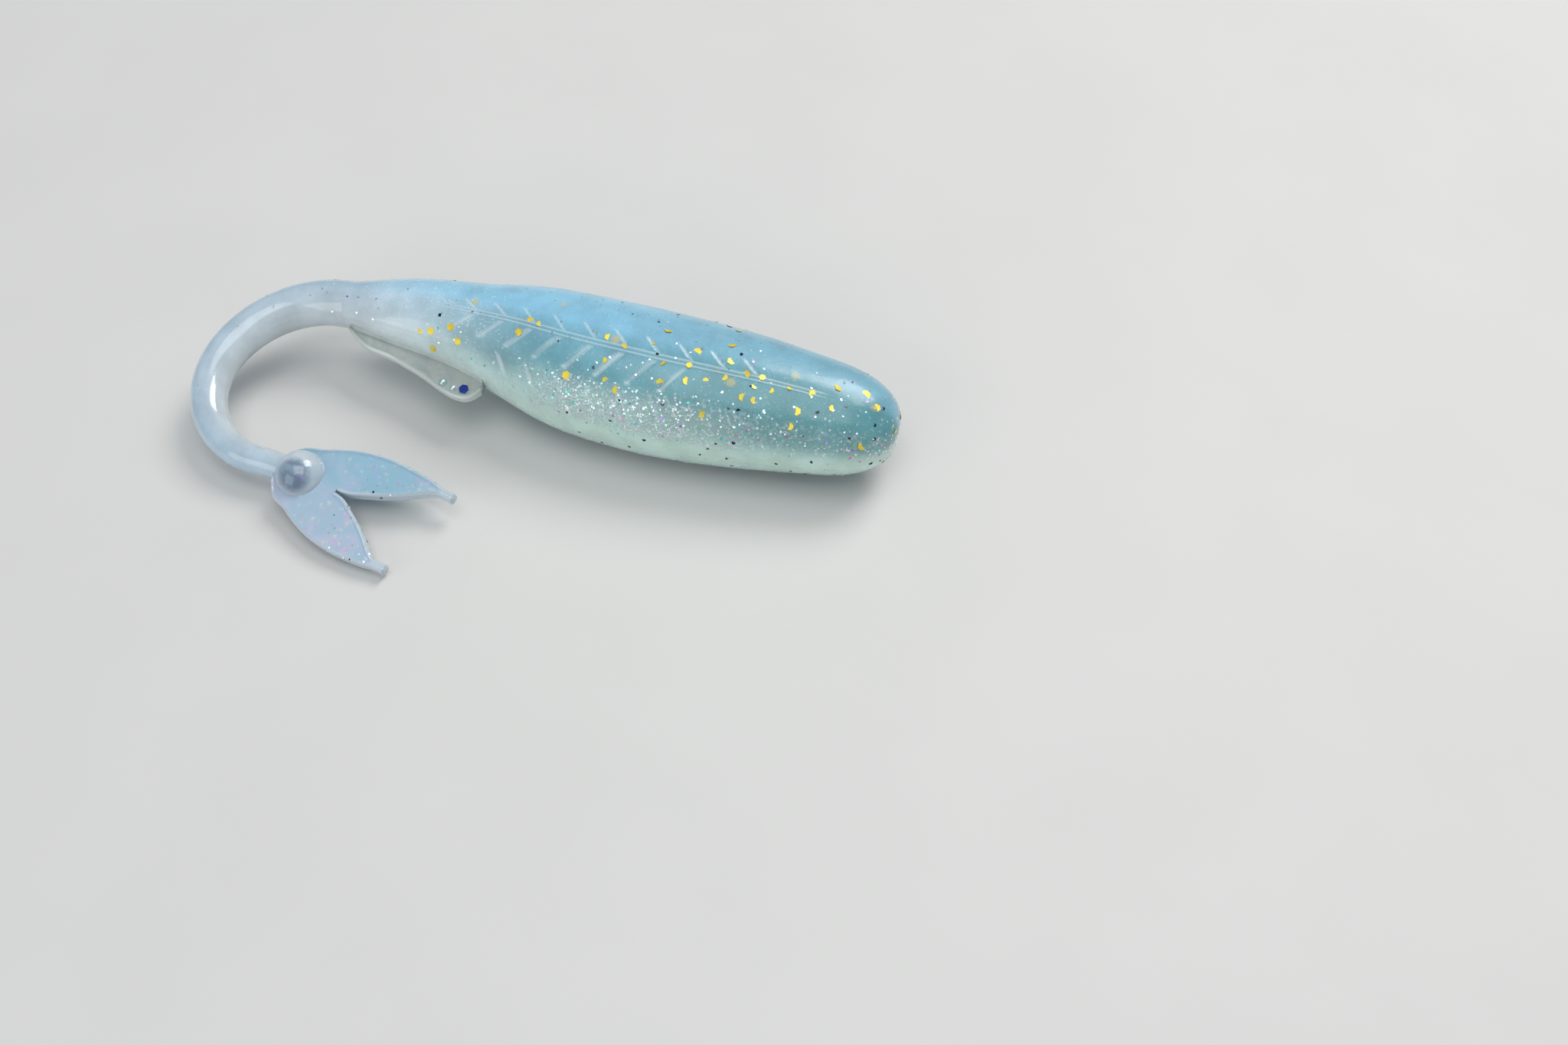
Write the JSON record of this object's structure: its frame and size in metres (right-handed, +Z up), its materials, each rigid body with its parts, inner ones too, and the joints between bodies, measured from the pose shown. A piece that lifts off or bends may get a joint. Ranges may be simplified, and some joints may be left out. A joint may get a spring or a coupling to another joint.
{
  "type": "soft plastic worm",
  "caption": "Fork-tailed soft plastic fishing worm lying on its flank: pearl back, clear belly, keel fin, curled stem, tail ball and flat lobes that bend, curl and twist.",
  "frame": {"origin": "centre of the bounding box on the surface the worm lies on", "axes": "+X from the tail to the nose, +Y from the belly towards the back, +Z up from the table through the flanks"},
  "size_m": [0.063, 0.0294, 0.0112],
  "materials": {
    "pearl_back": "gloss pearl, slightly translucent",
    "clear_belly": "gloss, translucent, with glitter",
    "clear_tail": "gloss, translucent, milky"
  },
  "bodies": {
    "trunk": {"head_back": "pearl_back", "head_belly": "clear_belly", "trunk_back": "pearl_back", "trunk_belly": "clear_belly"},
    "waist": {"waist_back": "pearl_back", "waist_belly": "clear_belly"},
    "rear": {"rear_back": "pearl_back", "rear_belly": "clear_belly"},
    "keel": {"keel_fin": "clear_belly"},
    "stem_1": {"stem_1": "clear_tail"},
    "stem_2": {"stem_2": "clear_tail"},
    "stem_3": {"stem_3": "clear_tail"},
    "stem_4": {"stem_4": "clear_tail"},
    "stem_5": {"stem_5": "clear_tail"},
    "stem_6": {"stem_6": "clear_tail"},
    "tail": {"tail_ball": "clear_tail", "tail_web": "clear_tail"},
    "upper_lobe": {"lobe_upper": "clear_tail", "lobe_upper_tip": "clear_tail"},
    "lower_lobe": {"lobe_lower": "clear_tail", "lobe_lower_tip": "clear_tail"}
  },
  "joints": [
    {"name": "body_arch", "type": "hinge", "parent": "trunk", "child": "waist", "pos_m": [0.00003, 0.00865, 0.00567], "axis": [0, 0.2062, -0.9785], "range_deg": [-20, 20], "stiffness_Nm_per_rad": 0.02},
    {"name": "body_flex", "type": "hinge", "parent": "waist", "child": "rear", "pos_m": [-0.00337, 0.00911, 0.00576], "axis": [0, 0.9785, 0.2062], "range_deg": [-25, 25], "stiffness_Nm_per_rad": 0.02},
    {"name": "keel_fold", "type": "hinge", "parent": "rear", "child": "keel", "pos_m": [-0.01197, 0.00545, 0.00499], "axis": [0.9783, -0.2025, -0.0427], "range_deg": [-35, 35], "stiffness_Nm_per_rad": 0.001},
    {"name": "tail_swing", "type": "hinge", "parent": "rear", "child": "stem_1", "pos_m": [-0.02007, 0.00982, 0.00591], "axis": [0, 0.9785, 0.2062], "range_deg": [-40, 40], "stiffness_Nm_per_rad": 0.005},
    {"name": "curl_1", "type": "hinge", "parent": "stem_1", "child": "stem_2", "pos_m": [-0.02465, 0.00871, 0.00568], "axis": [0, 0.2062, -0.9785], "range_deg": [-8, 33], "stiffness_Nm_per_rad": 0.003},
    {"name": "curl_2", "type": "hinge", "parent": "stem_2", "child": "stem_3", "pos_m": [-0.02818, 0.00564, 0.00503], "axis": [0, 0.2062, -0.9785], "range_deg": [-8, 33], "stiffness_Nm_per_rad": 0.003},
    {"name": "curl_3", "type": "hinge", "parent": "stem_3", "child": "stem_4", "pos_m": [-0.02979, 0.00131, 0.00412], "axis": [0, 0.2062, -0.9785], "range_deg": [-8, 33], "stiffness_Nm_per_rad": 0.003},
    {"name": "curl_4", "type": "hinge", "parent": "stem_4", "child": "stem_5", "pos_m": [-0.02867, -0.00314, 0.00318], "axis": [0, 0.2062, -0.9785], "range_deg": [-8, 33], "stiffness_Nm_per_rad": 0.003},
    {"name": "curl_5", "type": "hinge", "parent": "stem_5", "child": "stem_6", "pos_m": [-0.02511, -0.00613, 0.00255], "axis": [0, 0.2062, -0.9785], "range_deg": [-8, 33], "stiffness_Nm_per_rad": 0.003},
    {"name": "tail_twist", "type": "hinge", "parent": "stem_6", "child": "tail", "pos_m": [-0.02043, -0.00688, 0.00239], "axis": [0.9918, -0.1249, -0.0263], "range_deg": [-70, 70], "stiffness_Nm_per_rad": 0.001},
    {"name": "upper_flap", "type": "hinge", "parent": "tail", "child": "upper_lobe", "pos_m": [-0.01483, -0.00811, 0.00214], "axis": [0.2419, 0.9494, 0.2001], "range_deg": [-45, 45], "stiffness_Nm_per_rad": 0.0005},
    {"name": "lower_flap", "type": "hinge", "parent": "tail", "child": "lower_lobe", "pos_m": [-0.01483, -0.00811, 0.00214], "axis": [0.2419, 0.9494, 0.2001], "range_deg": [-45, 45], "stiffness_Nm_per_rad": 0.0005}
  ]
}
